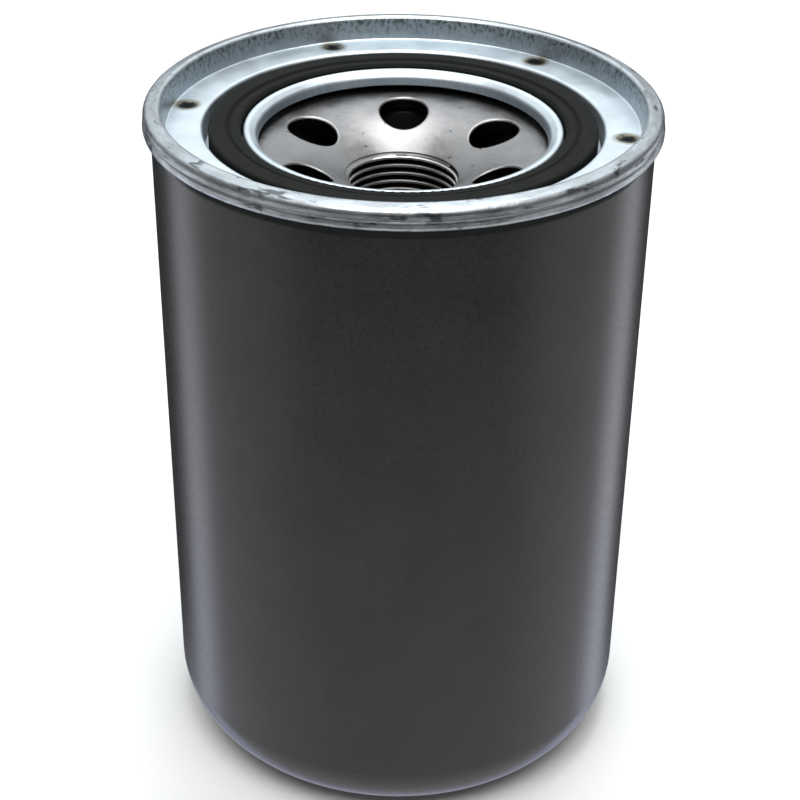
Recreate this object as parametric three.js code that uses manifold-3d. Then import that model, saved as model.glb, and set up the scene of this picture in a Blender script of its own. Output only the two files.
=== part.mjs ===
// Spin-on oil filter for a small engine, as its separate pieces.
// Millimetres, +Z up. The origin is the middle of the can's bottom, and the filter stands on its
// closed end with the threaded, open side up. Heights called "depth" are measured down from the rim.
import * as THREE from "three";
import { mergeVertices } from "three/addons/utils/BufferGeometryUtils.js";
import Module from "manifold-3d";

const wasm = await Module();
wasm.setup();

// ---- Driving dimensions -------------------------------------------------------------------------

const HEIGHT = 123.6;             // bottom of the can to the top of the rim
const CAN_RADIUS = 42.2;          // outside of the can's straight wall
const RIM_RADIUS = 43.5;          // outside of the double seam
const CORNER_RADIUS = 14.5;       // outside radius of the drawn corner at the closed end
const CAN_SHEET = 0.45;
const LID_SHEET = 0.5;
const ROUND = 36;                 // sides of a large turned piece
const SMALL_ROUND = 24;           // sides of a small turned piece

const PANEL = { radius: 15.5, foot: 18.5, rise: 1.2 };         // raised panel in the closed end

// Radii of the layers of the double seam, to the middle of each sheet
const SEAM = { chuck: 40.52, canWall: 41.525, lidHook: 42.12, canHook: 42.69, outside: 43.25 };
// Depths of the seam's bends and ends
const CAN_SEAM = { shoulder: 5.2, neck: 4.5, bend: 2.35, hookEnd: 3 };
const LID_SEAM = { hem: 3.2, hookEnd: 2.3 };
// The seam's top falls outwards, from a tight bend over the chuck wall to a wide one outside
const PEAK = { depth: 0.5, bend: 0.25 };
const CROWN = { depth: 1.65, bend: 1, slope: 70 };
const COMPOUND = { bottom: 1.48, top: 1.2, inset: 0.1 };

const LID_FLAT = { depth: 4.3, outer: 39.6, inner: 33.6, bevel: 0.35 };    // depth to its top face
const GROOVE = { depth: 8.2, outer: 33.6, inner: 26.9 };                   // gasket groove in the lid
const LIP = { radius: 25.67, bend: 0.98, depth: 6.2, skirt: 7.4 };

const WELDS = { count: 6, radius: 37.5, start: 50.6, core: 1.08, mark: 2.16, depth: 0.22 };

const GASKET = { outer: 32.7, inner: 27.3, top: 4.25, bottom: 8.1, shoulder: 0.6 };
const GASKET_CREASE = { outer: 29.6, middle: 29.1, inner: 28.6, depth: 0.45, step: 0.25 };

const PLATE = {
  thickness: 2.5, flangeOuter: 39.3, flangeDepth: 4.95, step: 34.5, underStep: 35.1,
  floorDepth: 8.9, dishEdge: 25, dishRadius: 25.4,
};
const INLETS = { count: 6, radius: 18.2, hole: 4.25, from: 16.6, to: 7.6 };
const THREAD = {
  major: 10, minor: 9.188, pitch: 1.5, root: 0.1, mouth: 13.7, chamfer: 0.75, end: 23.6, neck: 12.5,
};

const VALVE = {
  collarInner: 12.65, collarOuter: 14.3, collarTop: 16.4, collarEnd: 22.4,
  lipInner: 22.5, lipOuter: 24.6, lipTop: 11.6, lipSlope: 0.1,
  shoulder: 21.9, shoulderDepth: 15.3, rubber: 1,
};

const TOP_CAP = 102.2;            // middle of the upper end cap's sheet
const BOTTOM_CAP = 16.2;          // middle of the lower end cap's sheet
const CAP = { sheet: 0.5, radius: 37.2, skirt: 3.6, collar: 14.95, hole: 9.8, bend: 0.5 };
const TUBE = { outer: 16.1, inner: 15.6, hole: 2, rows: 4, columns: 6, firstRow: 22, lastRow: 9 };
const POTTING = { outer: 36.7, inner: 16.4, depth: 1.8 };
const PLEATS = { count: 36, outer: 36, inner: 18.6, paper: 0.6, tip: 0.9, valley: 0.2 };
const CLIP = { width: 3, inside: 2.2, depth: 4, back: 36.8, clearance: 1 };

const SEAT = { sheet: 0.6, outer: 14.9, nozzle: 8.2, level: 16.95, top: 18.4, bend: 0.5 };
const SEAL = { outer: 10, inner: 5.6, bottom: 18.55, top: 19.55 };
const POPPET = { sheet: 0.5, outer: 10.2, foot: 5.1, boss: 4.3, level: 19.95, crown: 22.6 };
const CAGE = {
  sheet: 0.5, outer: 14.9, wall: 12.2, foot: 17.7, top: 33.8, vent: 3, window: 12, margin: 3,
};
const BYPASS_SPRING = { wire: 0.9, radius: 6.3, bottom: 20.8, top: 33, turns: 5 };

const CUP = { sheet: 0.6, outer: 17.5, inner: 9, level: 15.5, skirt: 2.6 };
const ELEMENT_SPRING = { wire: 2.2, radius: 13.6, bottom: 3.1, top: 13.7, turns: 2.75 };

const GAP = 0.15;                 // between pieces that touch

// ---- Finishes -----------------------------------------------------------------------------------

function finish(color, roughness, metalness) {
  return new THREE.MeshStandardMaterial({ color, roughness, metalness });
}

const FINISH = {
  paint: finish(0x3c3e3e, 0.45, 0.1),
  zinc: finish(0xcddeea, 0.35, 0.9),
  plateSteel: finish(0xa6a6a6, 0.4, 0.9),
  tinplate: finish(0xb8bcbc, 0.3, 0.9),
  springSteel: finish(0x6e7072, 0.35, 0.9),
  gasketRubber: finish(0x323634, 0.6, 0),
  valveRubber: finish(0x232424, 0.6, 0),
  paper: finish(0xd8b468, 0.9, 0),
  adhesive: finish(0x3a4a66, 0.5, 0),
  compound: finish(0x8a8f84, 0.7, 0),
};

// ---- Shaping tools ------------------------------------------------------------------------------

const degrees = THREE.MathUtils.degToRad;
const fromRim = (depth) => HEIGHT - depth;

/** A line of [radius, height] corners, in which { centre, radius, from, to, steps } is an arc. */
function route(items) {
  const points = [];
  for (const item of items) {
    if (Array.isArray(item)) {
      points.push(new THREE.Vector2(...item));
      continue;
    }
    for (let i = 0; i <= item.steps; i++) {
      const angle = degrees(item.from + ((item.to - item.from) * i) / item.steps);
      const [r, z] = item.centre;
      points.push(new THREE.Vector2(r + item.radius * Math.cos(angle), z + item.radius * Math.sin(angle)));
    }
  }
  return points;
}

/** Both faces of a sheet whose middle follows the points, as one closed outline. */
function sheetOutline(points, thickness) {
  const sideways = (a, b) => new THREE.Vector2(a.y - b.y, b.x - a.x).normalize();
  const left = [];
  const right = [];
  points.forEach((point, i) => {
    const before = i > 0 ? sideways(points[i - 1], point) : sideways(point, points[i + 1]);
    const after = i < points.length - 1 ? sideways(point, points[i + 1]) : before;
    const mitre = before.clone().add(after).normalize();
    const reach = thickness / 2 / mitre.dot(after);
    left.push(point.clone().addScaledVector(mitre, reach));
    right.push(point.clone().addScaledVector(mitre, -reach));
  });
  return [...left, ...right.reverse()];
}

/** A closed outline turned about Z. Corners that lie on the axis stay exactly on it. */
function turned(outline, sides = ROUND) {
  const points = outline.map((p) => new THREE.Vector2(Math.max(p.x, 0), p.y));
  const anticlockwise = THREE.ShapeUtils.area(points) > 0;
  const loop = anticlockwise ? points : points.reverse();
  const onAxis = loop.findIndex((p, i) => p.x === 0 && loop[(i + 1) % loop.length].x > 0);
  const start = Math.max(onAxis, 0);
  const ordered = [...loop.slice(start), ...loop.slice(0, start)];
  if (onAxis < 0) {
    ordered.push(ordered[0].clone());
  }
  return new THREE.LatheGeometry(ordered, sides).rotateX(Math.PI / 2);
}

/** A turned ring of rectangular section. */
function ring(inner, outer, bottom, top, sides = SMALL_ROUND) {
  return turned(route([[inner, bottom], [outer, bottom], [outer, top], [inner, top]]), sides);
}

/** A pressed sheet piece turned about Z. */
function pressed(items, thickness, sides = SMALL_ROUND) {
  return turned(sheetOutline(route(items), thickness), sides);
}

function toSolid(geometry) {
  const bare = geometry.clone();
  bare.deleteAttribute("normal");
  bare.deleteAttribute("uv");
  const merged = mergeVertices(bare, 1e-4);
  return new wasm.Manifold(new wasm.Mesh({
    numProp: 3,
    vertProperties: new Float32Array(merged.attributes.position.array),
    triVerts: new Uint32Array(merged.index.array),
  }));
}

function cut(geometry, cutters) {
  let solid = toSolid(geometry);
  for (const cutter of cutters) {
    solid = solid.subtract(toSolid(cutter));
  }
  const mesh = solid.getMesh();
  const result = new THREE.BufferGeometry();
  result.setAttribute("position", new THREE.BufferAttribute(mesh.vertProperties, 3));
  result.setIndex(new THREE.BufferAttribute(mesh.triVerts, 1));
  return result;
}

/** An upright round cutter at a distance and an angle from the axis. */
function uprightCutter(radius, bottom, top, distance, angle, sides) {
  const cutter = new THREE.CylinderGeometry(radius, radius, top - bottom, sides).rotateX(Math.PI / 2);
  cutter.translate(distance, 0, (top + bottom) / 2);
  return cutter.rotateZ(degrees(angle));
}

/** A helix round Z. Its frame keeps a section's x pointing outwards and its y along the axis. */
class Helix extends THREE.Curve {
  constructor(radius, bottom, top, turns) {
    super();
    Object.assign(this, { radius, bottom, top, turns });
  }

  getPoint(t, target = new THREE.Vector3()) {
    const angle = t * this.turns * 2 * Math.PI;
    const z = THREE.MathUtils.lerp(this.bottom, this.top, t);
    return target.set(this.radius * Math.cos(angle), this.radius * Math.sin(angle), z);
  }

  computeFrenetFrames(steps) {
    const tangents = [];
    const normals = [];
    const binormals = [];
    for (let i = 0; i <= steps; i++) {
      const angle = (i / steps) * this.turns * 2 * Math.PI;
      const outwards = new THREE.Vector3(Math.cos(angle), Math.sin(angle), 0);
      const along = new THREE.Vector3(-Math.sin(angle), Math.cos(angle), 0);
      tangents.push(along);
      normals.push(outwards);
      binormals.push(new THREE.Vector3(0, 0, -1));
    }
    return { tangents, normals, binormals };
  }
}

function sweep(section, helix, stepsPerTurn) {
  const steps = Math.round(helix.turns * stepsPerTurn);
  return new THREE.ExtrudeGeometry(section, { steps, extrudePath: helix, bevelEnabled: false });
}

function coil({ wire, radius, bottom, top, turns }) {
  const section = new THREE.Shape();
  section.absarc(0, 0, wire / 2, 0, 2 * Math.PI);
  const round = new THREE.Shape(section.getPoints(3).slice(0, -1));
  return sweep(round, new Helix(radius, bottom, top, turns), 12);
}

// ---- Housing ------------------------------------------------------------------------------------

/** Drawn can: raised panel, round corner, straight wall, neck, and a hook turned out and down. */
function outerCan() {
  const half = CAN_SHEET / 2;
  const wall = CAN_RADIUS - half;
  const bend = (SEAM.canHook - SEAM.canWall) / 2;
  return pressed([
    [0, PANEL.rise + half],
    [PANEL.radius, PANEL.rise + half],
    [PANEL.foot, half],
    {
      centre: [CAN_RADIUS - CORNER_RADIUS, CORNER_RADIUS], radius: CORNER_RADIUS - half,
      from: -90, to: 0, steps: 5,
    },
    [wall, fromRim(CAN_SEAM.shoulder)],
    [SEAM.canWall, fromRim(CAN_SEAM.neck)],
    { centre: [SEAM.canWall + bend, fromRim(CAN_SEAM.bend)], radius: bend, from: 180, to: 0, steps: 3 },
    [SEAM.canHook, fromRim(CAN_SEAM.hookEnd)],
  ], CAN_SHEET, ROUND);
}

/** Shallow flat-bottomed pits that the welding electrodes leave in the lid. */
function weldMarks() {
  const { count, radius, start, core, mark, depth } = WELDS;
  const face = fromRim(LID_FLAT.depth);
  const section = [
    [0, face - depth],
    [core, face - depth],
    [mark, face + depth / 2],
    [0, face + 2 * depth],
  ];
  return Array.from({ length: count }, (_, i) => (
    turned(route(section), 8).translate(radius, 0, 0).rotateZ(degrees(start + (360 / count) * i))
  ));
}

/** Lid: hook, outer wall and top of the seam, chuck wall, flat, gasket groove and rolled lip. */
function seamingLid() {
  const half = LID_SHEET / 2;
  const hem = (SEAM.outside - SEAM.lidHook) / 2;
  const flat = fromRim(LID_FLAT.depth) - half;
  const floor = fromRim(GROOVE.depth) - half;
  const shell = pressed([
    [SEAM.lidHook, fromRim(LID_SEAM.hookEnd)],
    { centre: [SEAM.lidHook + hem, fromRim(LID_SEAM.hem)], radius: hem, from: 180, to: 360, steps: 3 },
    {
      centre: [SEAM.outside - CROWN.bend, fromRim(CROWN.depth)], radius: CROWN.bend,
      from: 0, to: CROWN.slope, steps: 2,
    },
    {
      centre: [SEAM.chuck + PEAK.bend, fromRim(PEAK.depth)], radius: PEAK.bend,
      from: CROWN.slope, to: 180, steps: 2,
    },
    [LID_FLAT.outer + LID_FLAT.bevel, flat + LID_FLAT.bevel],
    [LID_FLAT.outer, flat],
    [GROOVE.outer + half, flat],
    [GROOVE.outer + half, floor],
    [GROOVE.inner - half, floor],
    { centre: [LIP.radius, fromRim(LIP.depth)], radius: LIP.bend, from: 0, to: 180, steps: 4 },
    [LIP.radius - LIP.bend, fromRim(LIP.skirt)],
  ], LID_SHEET, ROUND);
  return cut(shell, weldMarks());
}

/** Cured compound between the can's hook bend and the top of the seam. */
function seamCompound() {
  const { bottom, top, inset } = COMPOUND;
  return ring(SEAM.canWall + inset, SEAM.canHook - inset, fromRim(bottom), fromRim(top), ROUND);
}

/** Square-cut gasket with a rounded outer shoulder and a lower step inside. */
function sealingGasket() {
  const { outer, inner, top, bottom, shoulder } = GASKET;
  const crease = GASKET_CREASE;
  return turned(route([
    [inner, fromRim(bottom)],
    [outer, fromRim(bottom)],
    [outer, fromRim(top + shoulder)],
    [outer - shoulder, fromRim(top)],
    [crease.outer, fromRim(top)],
    [crease.middle, fromRim(top + crease.depth)],
    [crease.inner, fromRim(top + crease.step)],
    [inner, fromRim(top + crease.step)],
  ]));
}

/** The dish rolls down into the neck on an arc that starts level at the dish's edge. */
function dishArc(radius, from, to, steps) {
  const centre = [PLATE.dishEdge, fromRim(PLATE.floorDepth + PLATE.dishRadius)];
  return { centre, radius, from, to, steps };
}

/** The dish arc's angle, in degrees, where it stands at a distance from the axis. */
function dishAngle(radius, distance) {
  return 180 - THREE.MathUtils.radToDeg(Math.acos((PLATE.dishEdge - distance) / radius));
}

/** Thick plate: stepped flange, level floor, dish and neck, with inlet holes and a tapped bore. */
function basePlate() {
  const { thickness, flangeOuter, flangeDepth, step, underStep, floorDepth, dishRadius } = PLATE;
  const under = dishRadius - thickness;
  const body = turned(route([
    [THREAD.minor, fromRim(THREAD.mouth + THREAD.chamfer)],
    dishArc(dishRadius, dishAngle(dishRadius, THREAD.major), 90, 5),
    [step, fromRim(floorDepth)],
    [step, fromRim(flangeDepth)],
    [flangeOuter, fromRim(flangeDepth)],
    [flangeOuter, fromRim(flangeDepth + thickness)],
    [step + thickness, fromRim(flangeDepth + thickness)],
    [underStep, fromRim(floorDepth + thickness)],
    dishArc(under, 90, dishAngle(under, THREAD.neck), 4),
    [THREAD.neck, fromRim(THREAD.end)],
    [THREAD.minor, fromRim(THREAD.end)],
  ]));
  const { count, radius, hole, from, to } = INLETS;
  const inlets = Array.from({ length: count }, (_, i) => (
    uprightCutter(hole, fromRim(from), fromRim(to), radius, 90 + (360 / count) * i, 16)
  ));
  return cut(body, [...inlets, threadCutter()]);
}

/** One long groove of a metric thread, from below the neck to above its mouth. */
function threadCutter() {
  const { major, minor, pitch, mouth, end, root } = THREAD;
  const inner = minor - 0.25;
  const flank = root + (major - inner) * Math.tan(degrees(30));
  const section = new THREE.Shape([
    new THREE.Vector2(inner, -flank),
    new THREE.Vector2(major, -root),
    new THREE.Vector2(major, root),
    new THREE.Vector2(inner, flank),
  ]);
  const bottom = fromRim(end + pitch);
  const top = fromRim(mouth - pitch);
  return sweep(section, new Helix(0, bottom, top, (top - bottom) / pitch), 12);
}

/** Rubber diaphragm: a collar on the neck, a bell round the inlets, and a lip under the plate. */
function antidrainValve() {
  const { collarInner, collarOuter, collarTop, collarEnd, shoulder, shoulderDepth, rubber } = VALVE;
  const { lipInner, lipOuter, lipTop, lipSlope } = VALVE;
  return turned(route([
    [collarInner, fromRim(collarTop)],
    [collarInner, fromRim(collarEnd)],
    [collarOuter, fromRim(collarEnd)],
    [collarOuter, fromRim(collarTop + 2 * rubber)],
    [shoulder + rubber, fromRim(shoulderDepth + rubber)],
    [lipInner + rubber, fromRim(lipTop + 1.5 * rubber)],
    [lipOuter, fromRim(lipTop + rubber)],
    [lipOuter, fromRim(lipTop)],
    [lipInner, fromRim(lipTop + lipSlope)],
    [shoulder, fromRim(shoulderDepth)],
    [collarOuter, fromRim(collarTop + rubber)],
  ]), SMALL_ROUND);
}

// ---- Element ------------------------------------------------------------------------------------

/** Upper cap: outer skirt and inner collar both turned down. */
function upperEndCap() {
  const { sheet, radius, skirt, collar, bend } = CAP;
  return pressed([
    [radius, TOP_CAP - skirt],
    [radius, TOP_CAP - bend],
    [radius - bend, TOP_CAP],
    [collar + bend, TOP_CAP],
    [collar, TOP_CAP - bend],
    [collar, TOP_CAP - skirt],
  ], sheet);
}

/** Lower cap: outer skirt turned up, open in the middle for the bypass valve. */
function lowerEndCap() {
  const { sheet, radius, skirt, hole, bend } = CAP;
  return pressed([
    [radius, BOTTOM_CAP + skirt],
    [radius, BOTTOM_CAP + bend],
    [radius - bend, BOTTOM_CAP],
    [hole, BOTTOM_CAP],
  ], sheet);
}

const upperBond = TOP_CAP - CAP.sheet / 2 - GAP - POTTING.depth;
const lowerBond = BOTTOM_CAP + CAP.sheet / 2 + GAP + POTTING.depth;

function potting(bottom, top) {
  return ring(POTTING.inner, POTTING.outer, bottom, top);
}

/** Perforated tube, with staggered rows of holes. */
function centreTube() {
  const { outer, inner, hole, rows, columns, firstRow, lastRow } = TUBE;
  const bottom = BOTTOM_CAP + CAP.sheet / 2 + GAP;
  const top = TOP_CAP - CAP.sheet / 2 - GAP;
  const cutters = [];
  for (let row = 0; row < rows; row++) {
    const z = THREE.MathUtils.lerp(bottom + firstRow, top - lastRow, row / (rows - 1));
    for (let column = 0; column < columns / 2; column++) {
      const through = new THREE.CylinderGeometry(hole, hole, 3 * outer, 8);
      const angle = (360 / columns) * (column + (row % 2) / 2);
      cutters.push(through.rotateZ(degrees(angle)).translate(0, 0, z));
    }
  }
  return cut(ring(inner, outer, bottom, top), cutters);
}

/** The pleated paper's plan: an outer zigzag, and an inner one that is a hole in it. */
function pleatedMedia() {
  const { count, outer, inner, paper, tip, valley } = PLEATS;
  const zigzag = (outRadius, outHalf, inRadius, inHalf) => {
    const points = [];
    for (let i = 0; i < count; i++) {
      const fold = (2 * Math.PI * i) / count;
      const between = fold + Math.PI / count;
      for (const [radius, angle, half] of [
        [outRadius, fold, -outHalf], [outRadius, fold, outHalf],
        [inRadius, between, -inHalf], [inRadius, between, inHalf],
      ]) {
        const turn = angle + half / radius;
        points.push(new THREE.Vector2(radius * Math.cos(turn), radius * Math.sin(turn)));
      }
    }
    return points;
  };
  const shape = new THREE.Shape(zigzag(outer, tip, inner + paper, valley));
  shape.holes.push(new THREE.Path(zigzag(outer - paper, tip - paper, inner, valley + paper)));
  const bottom = lowerBond + GAP;
  const depth = upperBond - GAP - bottom;
  return new THREE.ExtrudeGeometry(shape, { depth, bevelEnabled: false }).translate(0, 0, bottom);
}

/** Channel that grips the two ends of the paper at one outer fold. */
function mediaSeamClip() {
  const { width, inside, depth, back, clearance } = CLIP;
  const wall = (width - inside) / 2;
  const shape = new THREE.Shape([
    new THREE.Vector2(back, -width / 2),
    new THREE.Vector2(back, width / 2),
    new THREE.Vector2(back - depth, width / 2),
    new THREE.Vector2(back - depth, inside / 2),
    new THREE.Vector2(back - wall, inside / 2),
    new THREE.Vector2(back - wall, -inside / 2),
    new THREE.Vector2(back - depth, -inside / 2),
    new THREE.Vector2(back - depth, -width / 2),
  ]);
  const bottom = BOTTOM_CAP + CAP.skirt + clearance;
  const length = TOP_CAP - CAP.skirt - clearance - bottom;
  return new THREE.ExtrudeGeometry(shape, { depth: length, bevelEnabled: false }).translate(0, 0, bottom);
}

// ---- Bypass valve -------------------------------------------------------------------------------

/** Flange on the lower cap, with a nozzle turned up for the seal to close. */
function bypassSeat() {
  const { sheet, outer, nozzle, level, top, bend } = SEAT;
  return pressed([[outer, level], [nozzle + bend, level], [nozzle, level + bend], [nozzle, top]], sheet);
}

function bypassSeal() {
  return ring(SEAL.inner, SEAL.outer, SEAL.bottom, SEAL.top);
}

/** Disc with a crowned boss that centres the spring. */
function bypassPoppet() {
  const { sheet, outer, foot, boss, level, crown } = POPPET;
  return pressed([[outer, level], [foot, level], [boss, crown], [0, crown]], sheet);
}

/** Inverted cup that holds the spring, with four windows for the oil. */
function bypassCage() {
  const { sheet, outer, wall, foot, top, vent, window, margin } = CAGE;
  const cup = pressed([[outer, foot], [wall, foot], [wall, top], [vent, top]], sheet);
  const height = top - foot - 2 * margin;
  const windows = [0, 90].map((angle) => {
    const opening = new THREE.BoxGeometry(3 * wall, window, height);
    return opening.translate(0, 0, foot + margin + height / 2).rotateZ(degrees(angle));
  });
  return cut(cup, windows);
}

/** Cup between the lower cap and the element's spring. */
function springSeat() {
  const { sheet, outer, inner, level, skirt } = CUP;
  return pressed([[outer, level - skirt], [outer, level], [inner, level]], sheet);
}

// ---- Assembly -----------------------------------------------------------------------------------

const group = new THREE.Group();

function add(name, geometry, material) {
  const mesh = new THREE.Mesh(geometry, material);
  mesh.name = name;
  group.add(mesh);
}

add("outer_can", outerCan(), FINISH.paint);
add("seaming_lid", seamingLid(), FINISH.zinc);
add("seam_compound", seamCompound(), FINISH.compound);
add("sealing_gasket", sealingGasket(), FINISH.gasketRubber);
add("base_plate", basePlate(), FINISH.plateSteel);
add("antidrain_valve", antidrainValve(), FINISH.valveRubber);

add("upper_end_cap", upperEndCap(), FINISH.tinplate);
add("lower_end_cap", lowerEndCap(), FINISH.tinplate);
add("upper_potting", potting(upperBond, upperBond + POTTING.depth), FINISH.adhesive);
add("lower_potting", potting(lowerBond - POTTING.depth, lowerBond), FINISH.adhesive);
add("centre_tube", centreTube(), FINISH.tinplate);
add("pleated_media", pleatedMedia(), FINISH.paper);
add("media_seam_clip", mediaSeamClip(), FINISH.tinplate);

add("bypass_seat", bypassSeat(), FINISH.tinplate);
add("bypass_seal", bypassSeal(), FINISH.valveRubber);
add("bypass_poppet", bypassPoppet(), FINISH.tinplate);
add("bypass_spring", coil(BYPASS_SPRING), FINISH.springSteel);
add("bypass_cage", bypassCage(), FINISH.tinplate);
add("spring_seat", springSeat(), FINISH.tinplate);
add("element_spring", coil(ELEMENT_SPRING), FINISH.springSteel);

export default group;
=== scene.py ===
import math

import bmesh
import bpy
from mathutils import Matrix, Vector, noise


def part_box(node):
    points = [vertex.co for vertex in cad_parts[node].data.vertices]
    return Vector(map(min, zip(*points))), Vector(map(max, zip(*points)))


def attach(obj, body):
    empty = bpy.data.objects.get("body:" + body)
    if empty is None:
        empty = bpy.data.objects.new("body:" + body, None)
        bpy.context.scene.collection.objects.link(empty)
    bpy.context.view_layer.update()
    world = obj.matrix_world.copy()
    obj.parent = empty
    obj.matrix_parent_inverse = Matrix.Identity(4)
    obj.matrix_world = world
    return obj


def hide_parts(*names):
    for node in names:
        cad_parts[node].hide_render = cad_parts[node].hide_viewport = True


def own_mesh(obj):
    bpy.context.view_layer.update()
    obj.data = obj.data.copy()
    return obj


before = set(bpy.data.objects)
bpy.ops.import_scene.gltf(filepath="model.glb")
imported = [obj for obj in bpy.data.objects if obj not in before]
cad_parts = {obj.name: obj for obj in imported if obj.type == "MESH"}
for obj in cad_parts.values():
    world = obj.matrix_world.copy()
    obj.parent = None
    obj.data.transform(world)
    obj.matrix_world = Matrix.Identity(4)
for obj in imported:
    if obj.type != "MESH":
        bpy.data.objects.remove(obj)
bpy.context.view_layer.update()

bl_info = {
    "name": "Spin-on oil filter",
    "version": (1, 0, 0),
    "blender": (4, 5, 0),
    "location": "View3D > Sidebar > Oil filter",
    "description": "Builds a spin-on oil filter around its packed frame",
    "category": "Object",
}

# ---- Sizes, in millimetres unless a name says otherwise -----------------------------------------

MM = 0.001


def corners_mm(node):
    low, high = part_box(node)
    return low / MM, high / MM


RIM_TOP = corners_mm("seaming_lid")[1].z
TURN_STEPS = 240                    # sides of a large turned piece
SMALL_STEPS = 96                    # sides of a small turned piece

CAN_SHEET = 0.45
LID_SHEET = 0.5
SEAM_CAN_WALL = 41.525              # radii to the middle of each sheet layer of the double seam
SEAM_LID_HOOK = 42.12
SEAM_CAN_HOOK = 42.69
SEAM_OUTSIDE = 43.25

WELD_COUNT = 6
WELD_RADIUS = 37.5
WELD_START = 50.6                   # degrees from +X to the first weld
WELD_SPOT = 1.75                    # radius of the mark
WELD_PIT = 0.16                     # depth of the mark
WELD_LIP = 0.015                    # height of the lip round it
CHUCK_WALL = (39.7, 40.9)           # radii that the wall inside the rim lies between
ROLLER_WAVE = 0.045                 # how much the rollers leave the seam uneven

FLOOR_DEPTH = 8.9                   # from the rim to the base plate's level floor
FLANGE_DEPTH = 4.95
DISH_EDGE = 25.0                    # where the floor starts to fall
DISH_ARC = 25.4
INLET_COUNT = 6
INLET_CIRCLE = 18.2
INLET_RADIUS = 4.25

THREAD_PITCH = 1.5
THREAD_MINOR = 9.188
THREAD_MAJOR = 10.0
THREAD_MOUTH = 13.7                 # depths below the rim
THREAD_END = 23.6

CAP_FACE = 37.2                     # radius to the middle of the end caps' rims
CAP_RIM = 3.6                       # height of the end caps' rims
PLEATS = 36
PLEAT_OUTER = 35.6
PLEAT_INNER = 18.95
PAPER_SHEET = 0.6
TUBE_HOLE_ROWS = 4
TUBE_HOLE_COLUMNS = 6
RIBS = 112                          # moulded ticks round the gasket's inner edge
RIB_HEIGHT = 0.07
RIB_CIRCLE = 27.85
RIB_REACH = 0.55                    # how far a rib runs inwards and outwards from its circle


def down(depth):
    """The height that lies a depth below the rim."""
    return RIM_TOP - depth


def mm(length):
    return length / MM


def linear(hex_colour):
    """An sRGB hex colour as the linear RGBA that shaders take."""
    values = [int(hex_colour[i:i + 2], 16) / 255 for i in (1, 3, 5)]
    return tuple(v / 12.92 if v <= 0.04045 else ((v + 0.055) / 1.055) ** 2.4 for v in values) + (1.0,)


def size_property(name, description, default, least, most):
    return bpy.props.FloatProperty(
        name=name, description=description, default=default, min=least, max=most,
        unit="LENGTH", subtype="DISTANCE")


class OilFilterSizes(bpy.types.PropertyGroup):
    can_radius: size_property(
        "Can radius", "Outside radius of the can's straight wall", 0.0422, 0.03, 0.0427)
    corner_radius: size_property(
        "Corner radius", "Outside radius of the drawn corner at the closed end", 0.0145, 0.003, 0.02)
    flat_depth: size_property(
        "Flat depth", "How far the lid's flat ring lies below the rim", 0.0043, 0.0035, 0.0046)
    groove_depth: size_property(
        "Groove depth", "How far the gasket groove's floor lies below the rim", 0.0082, 0.0066, 0.0084)
    gasket_depth: size_property(
        "Gasket depth", "How far the gasket's top lies below the rim", 0.00425, 0.0036, 0.0056)
    plate_thickness: size_property(
        "Plate thickness", "Thickness of the base plate", 0.0025, 0.002, 0.003)


def colour_property(name, description, hex_colour):
    return bpy.props.FloatVectorProperty(
        name=name, description=description, subtype="COLOR", size=4, min=0, max=1,
        default=linear(hex_colour))


class OilFilterColours(bpy.types.PropertyGroup):
    enamel: colour_property("Enamel", "Baked enamel of the can", "#222424")
    zinc: colour_property("Zinc", "Zinc plating of the lid", "#dae4ea")
    plate: colour_property("Plate", "Bare pressed steel of the base plate", "#959494")
    gasket: colour_property("Gasket", "Nitrile rubber of the gasket", "#0f1110")
    valve: colour_property("Valve", "Nitrile rubber of the valves", "#0e0e0e")
    paper: colour_property("Paper", "Resin-treated filter paper", "#d6b067")
    resin: colour_property("Resin", "Plastisol that bonds the pleats", "#3a4a66")


# ---- Materials ----------------------------------------------------------------------------------

NOISE_SPAN = (0.3, 0.7)             # the values that noise mostly lies between
BLACK = (0, 0, 0, 1)


def feed(node, inputs):
    """Links or sets a node's inputs, given by name or in their order."""
    for key, value in inputs.items() if isinstance(inputs, dict) else enumerate(inputs):
        if isinstance(value, bpy.types.NodeSocket):
            node.id_data.links.new(value, node.inputs[key])
        else:
            node.inputs[key].default_value = value


def put(tree, kind, inputs=(), out=None, **settings):
    """Adds one shader node with its settings and links, and gives the output that is asked for."""
    node = tree.nodes.new("ShaderNode" + kind)
    for key, value in settings.items():
        setattr(node, key, value)
    feed(node, inputs)
    return node.outputs[out] if out else next(socket for socket in node.outputs if socket.enabled)


def new_material(name, metallic, roughness, ior=None):
    """A new material of that name, as its tree and its Principled shader."""
    material = bpy.data.materials.new(name)
    material.use_nodes = True
    shader = material.node_tree.nodes["Principled BSDF"]
    feed(shader, {"Metallic": metallic, "Roughness": roughness})
    if ior:
        feed(shader, {"IOR": ior})
    return material.node_tree, shader


def pattern(tree, size, detail=4.0, roughness=0.6, stretch=(1, 1, 1), along=None):
    """Noise whose lumps are about size millimetres across."""
    source = along or put(tree, "TexCoord", out="Object")
    scaled = put(tree, "VectorMath", (source, stretch), operation="MULTIPLY")
    return put(tree, "TexNoise", {
        "Vector": scaled, "Scale": 1 / (size * MM), "Detail": detail, "Roughness": roughness})


def layered(tree, base, *layers):
    """A base colour with more colours laid over it, each as thick as its own factor says."""
    for factor, colour in layers:
        base = put(tree, "Mix", {0: factor, 6: base, 7: colour}, data_type="RGBA")
    return base


def shade(colour, factor):
    """A lighter or darker version of a linear colour."""
    return tuple(min(1.0, c * factor) for c in colour[:3]) + (1.0,)


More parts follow.
